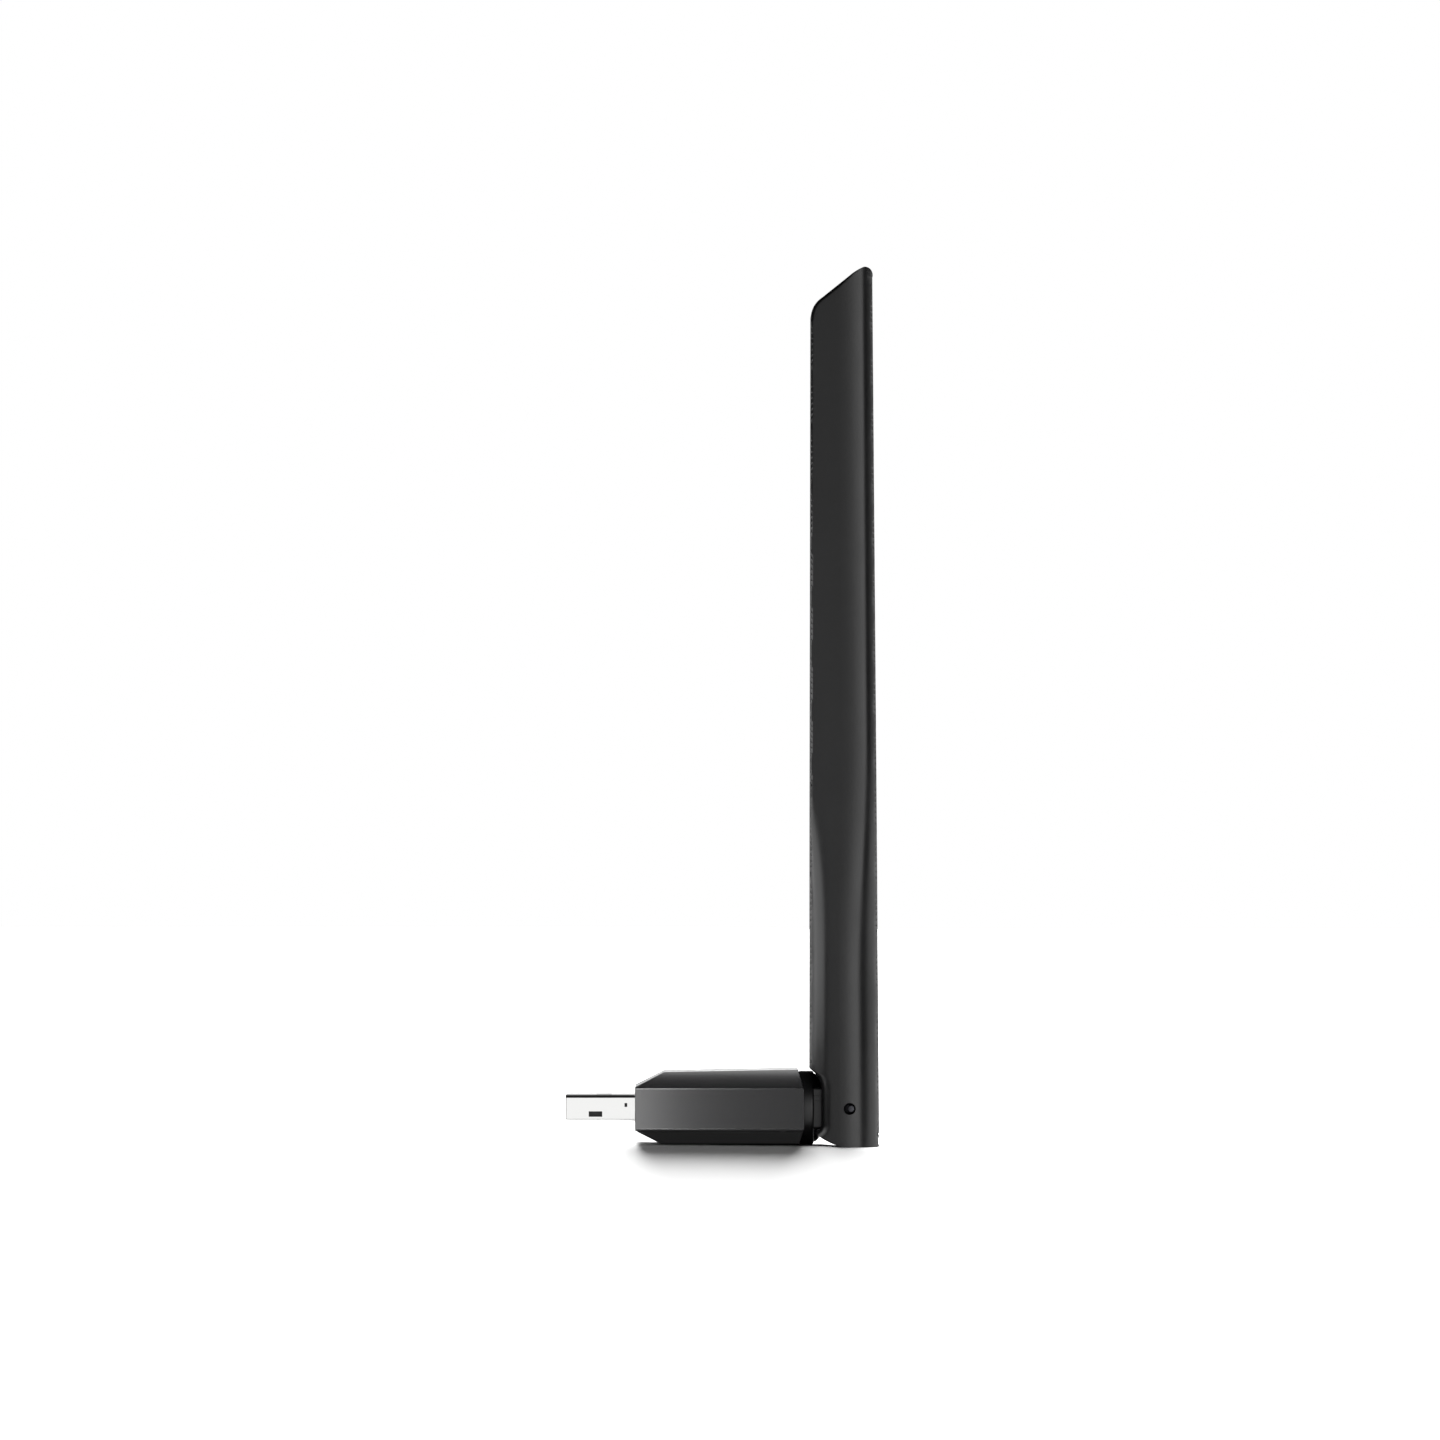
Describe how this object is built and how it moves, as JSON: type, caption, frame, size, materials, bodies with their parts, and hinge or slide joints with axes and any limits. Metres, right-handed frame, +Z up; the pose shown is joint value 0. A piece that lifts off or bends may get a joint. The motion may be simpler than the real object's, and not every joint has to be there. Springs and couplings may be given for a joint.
{
  "type": "usb wifi adapter",
  "caption": "Black USB wifi adapter: steel USB-A plug, faceted case, round swivel base and a tall tapered antenna that folds on a cross pin.",
  "frame": {"origin": "on the plug's axis, in the plane of the case's front face, where it meets the port", "axes": "-X out of the plug, +Z up along the antenna as it stands, +Y across the width"},
  "size_m": [0.0524, 0.018, 0.147],
  "materials": {
    "plug_shell": "bright nickel-plated steel",
    "plug_insulator": "black moulded LCP",
    "contact_gold": "gold-plated brass",
    "case_black": "satin-gloss black ABS",
    "swivel_black": "black moulded POM",
    "bearing_pom": "black moulded POM",
    "washer_steel": "spring steel",
    "pin_steel": "blackened steel",
    "board_green": "green solder mask on glass-epoxy board",
    "shield_tin": "tin-plated steel",
    "chip_black": "black epoxy package",
    "crystal_can": "nickel-plated can",
    "ceramic": "fired ceramic with tinned ends",
    "socket_gold": "gold-plated brass",
    "cable_jacket": "black fluoropolymer jacket",
    "antenna_black": "fine matte black ABS",
    "element_copper": "etched copper",
    "solder": "bright solder",
    "foam": "black closed-cell foam"
  },
  "bodies": {
    "adapter": {"usb_shell": "plug_shell", "usb_insulator": "plug_insulator", "usb_contact_ground": "contact_gold", "usb_contact_data_plus": "contact_gold", "usb_contact_data_minus": "contact_gold", "usb_contact_power": "contact_gold", "top_cover": "case_black", "bottom_cover": "case_black", "rear_bulkhead": "bearing_pom", "friction_washer": "washer_steel", "circuit_board": "board_green", "rf_shield_frame": "shield_tin", "rf_shield_lid": "shield_tin", "wifi_chip": "chip_black", "front_end_chip": "chip_black", "crystal": "crystal_can", "voltage_regulator": "chip_black", "power_inductor": "chip_black", "chip_capacitors": "ceramic", "antenna_socket": "socket_gold", "coax_plug": "socket_gold", "coax_cable_case": "cable_jacket"},
    "swivel": {"swivel_knuckle": "swivel_black", "retaining_clip": "washer_steel", "hinge_pin_near": "pin_steel", "hinge_pin_far": "pin_steel", "hinge_washer_near": "washer_steel", "hinge_washer_far": "washer_steel", "coax_cable_hinge": "cable_jacket"},
    "antenna": {"antenna_cover_near": "antenna_black", "antenna_cover_far": "antenna_black", "antenna_board": "board_green", "antenna_element_lower": "element_copper", "antenna_element_upper": "element_copper", "feed_solder": "solder", "foam_pad_lower": "foam", "foam_pad_upper": "foam", "coax_cable_antenna": "cable_jacket"}
  },
  "joints": [
    {"name": "swivel", "type": "hinge", "parent": "adapter", "child": "swivel", "pos_m": [0.0286, 0, 0], "axis": [1, 0, 0], "range_deg": [-90, 90]},
    {"name": "antenna_tilt", "type": "hinge", "parent": "swivel", "child": "antenna", "pos_m": [0.0358, 0, 0], "axis": [0, 1, 0], "range_deg": [0, 90], "deforming": ["coax_cable_hinge"]}
  ]
}
